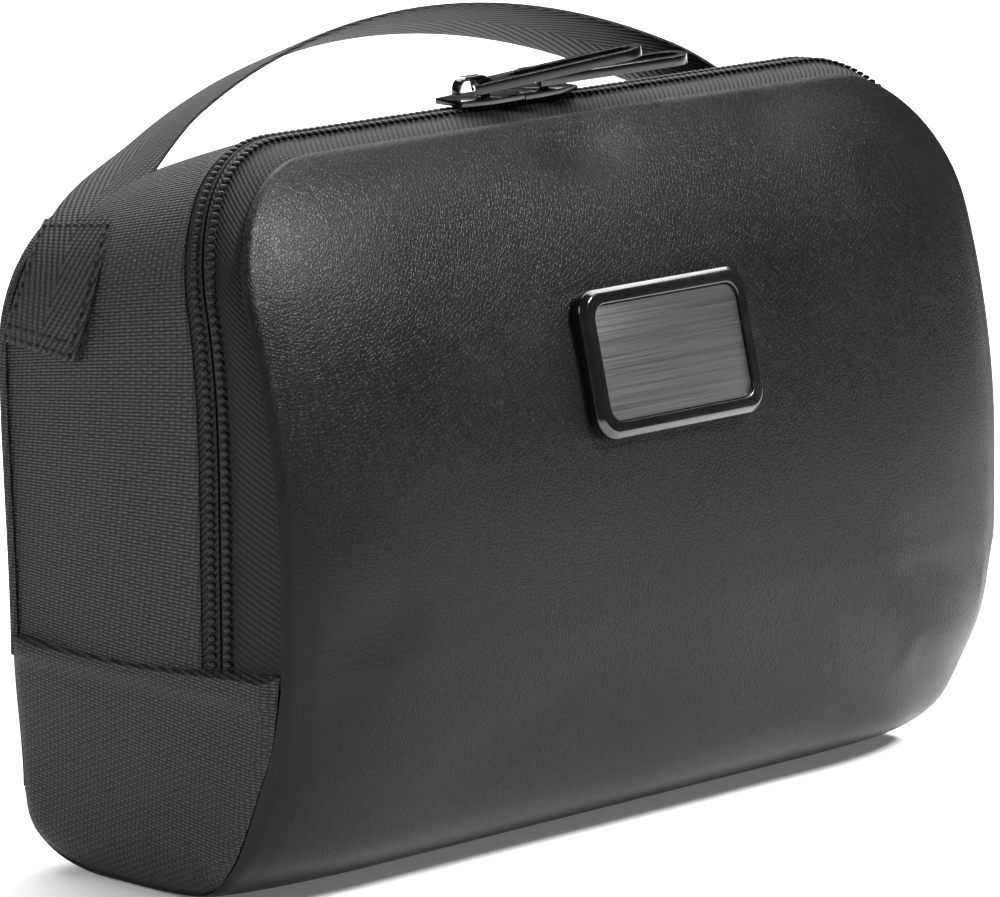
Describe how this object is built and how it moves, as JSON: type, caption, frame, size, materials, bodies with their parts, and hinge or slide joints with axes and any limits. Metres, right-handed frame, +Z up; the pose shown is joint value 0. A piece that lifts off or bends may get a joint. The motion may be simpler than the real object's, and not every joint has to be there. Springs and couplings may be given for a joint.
{
  "type": "toiletry bag",
  "caption": "Soft toiletry bag with a domed front that unzips and folds open, a top carrying strap, pull tabs on a two-way zip and a fold-out hanging hook.",
  "frame": {"origin": "middle of the flat face that the bag stands on", "axes": "+X across the bag, -Y out of the domed front, +Z up"},
  "size_m": [0.2644, 0.111, 0.1951],
  "materials": {
    "grained_leather": "fine pebble grain, semi-matt",
    "ballistic_nylon": "basket-woven nylon",
    "padding_foam": "closed-cell foam",
    "stiffening_board": "polyethylene sheet",
    "lining_twill": "polyester twill",
    "binding_tape": "grosgrain",
    "elastic_band": "knitted elastic",
    "pocket_mesh": "knitted mesh",
    "zip_tape": "herringbone zip tape",
    "zip_coil": "wound nylon coil",
    "strap_webbing": "herringbone webbing",
    "black_metal": "gloss black plated zinc",
    "brushed_plate": "brushed, dark gunmetal",
    "backing_steel": "plain sheet"
  },
  "bodies": {
    "body": {"gusset_band": "ballistic_nylon", "lower_gusset_left": "ballistic_nylon", "lower_gusset_right": "ballistic_nylon", "base_leather": "grained_leather", "back_panel": "ballistic_nylon", "back_edge_welt": "ballistic_nylon", "gusset_foam": "padding_foam", "back_foam": "padding_foam", "lower_front_foam": "padding_foam", "base_board": "stiffening_board", "body_lining": "lining_twill", "back_seam_binding": "binding_tape", "back_slip_pocket": "lining_twill", "back_pocket_elastic": "elastic_band", "zip_tape_rear": "zip_tape", "zip_coil_rear": "zip_coil", "zip_end_stops": "zip_coil", "handle_end_left": "strap_webbing", "handle_end_right": "strap_webbing", "hook_tab": "strap_webbing"},
    "flap": {"front_leather": "grained_leather", "front_foam": "padding_foam", "front_board": "stiffening_board", "front_lining": "lining_twill", "front_seam_binding": "binding_tape", "front_mesh_pocket": "pocket_mesh", "mesh_pocket_elastic": "elastic_band", "zip_tape_front": "zip_tape", "zip_coil_front": "zip_coil", "badge_bezel": "black_metal", "badge_plate": "brushed_plate", "badge_backing_plate": "backing_steel"},
    "left_slider": {"slider_body_left": "black_metal", "slider_crown_left": "black_metal"},
    "right_slider": {"slider_body_right": "black_metal", "slider_crown_right": "black_metal"},
    "left_puller": {"puller_left": "black_metal"},
    "right_puller": {"puller_right": "black_metal"},
    "handle": {"handle_strap": "strap_webbing"},
    "hanging_hook": {"hook": "black_metal"}
  },
  "joints": [
    {"name": "flap_hinge", "type": "hinge", "parent": "body", "child": "flap", "pos_m": [0, -0.066, 0.057], "axis": [1, 0, 0], "range_deg": [0, 100]},
    {"name": "left_slider_run", "type": "slide", "parent": "body", "child": "left_slider", "axis": [-1, 0, 0], "range_m": [0, 0.058]},
    {"name": "right_slider_run", "type": "slide", "parent": "body", "child": "right_slider", "axis": [1, 0, 0], "range_m": [0, 0.075]},
    {"name": "left_puller_pivot", "type": "hinge", "parent": "left_slider", "child": "left_puller", "pos_m": [-0.02275, -0.01443, 0.1844], "axis": [-0.6157, -0.788, 0], "range_deg": [-8, 90]},
    {"name": "right_puller_pivot", "type": "hinge", "parent": "right_slider", "child": "right_puller", "pos_m": [-0.00225, -0.01443, 0.1844], "axis": [-0.342, -0.9397, 0], "range_deg": [0, 90]},
    {"name": "handle_rock", "type": "hinge", "parent": "body", "child": "handle", "pos_m": [0, 0.02742, 0.17036], "axis": [1, 0, 0], "range_deg": [-10, 15]},
    {"name": "hook_swing", "type": "hinge", "parent": "body", "child": "hanging_hook", "pos_m": [0, 0.0433, 0.1645], "axis": [1, 0, 0], "range_deg": [0, 150]}
  ]
}
